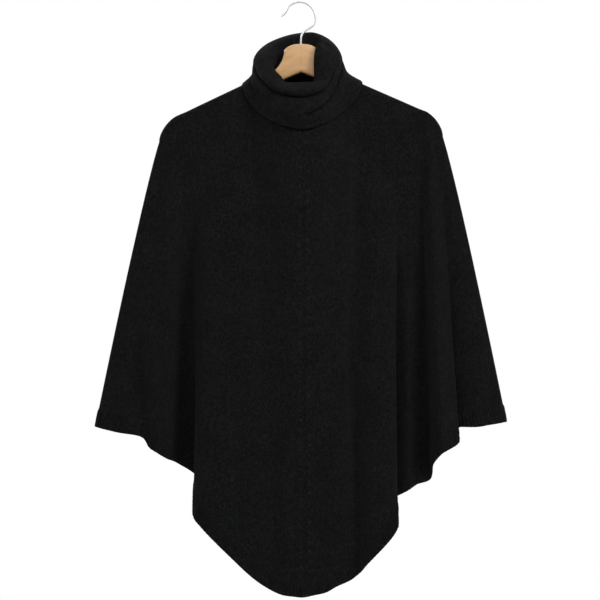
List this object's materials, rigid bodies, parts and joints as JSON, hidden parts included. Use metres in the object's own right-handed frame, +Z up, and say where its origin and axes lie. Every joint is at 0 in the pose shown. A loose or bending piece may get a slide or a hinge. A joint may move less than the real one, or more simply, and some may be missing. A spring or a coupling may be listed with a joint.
{
  "type": "knitted poncho sweater on a hanger",
  "caption": "Near-black fine-knit poncho with a slumped roll collar and a ribbed pointed hem, hanging in folds on a flat wooden hanger with a thin wire hook.",
  "frame": {"origin": "top of the inside of the hanger's wire hook, in the plane of the hook, where it hangs on a rail", "axes": "+Z up along the stem of the hanger, +X towards the right arm of the hanger as the front is seen, -Y out of the front"},
  "size_m": [0.6499, 0.1337, 0.9359],
  "materials": {
    "knit": "fine knit, matt, near-black",
    "wood": "clear varnish, satin",
    "wire": "bright"
  },
  "bodies": {
    "root": {"body_front": "knit", "body_back": "knit", "hem_rib_front": "knit", "hem_rib_back": "knit", "collar": "knit", "hanger_wood": "wood", "hanger_hook": "wire"}
  },
  "joints": []
}
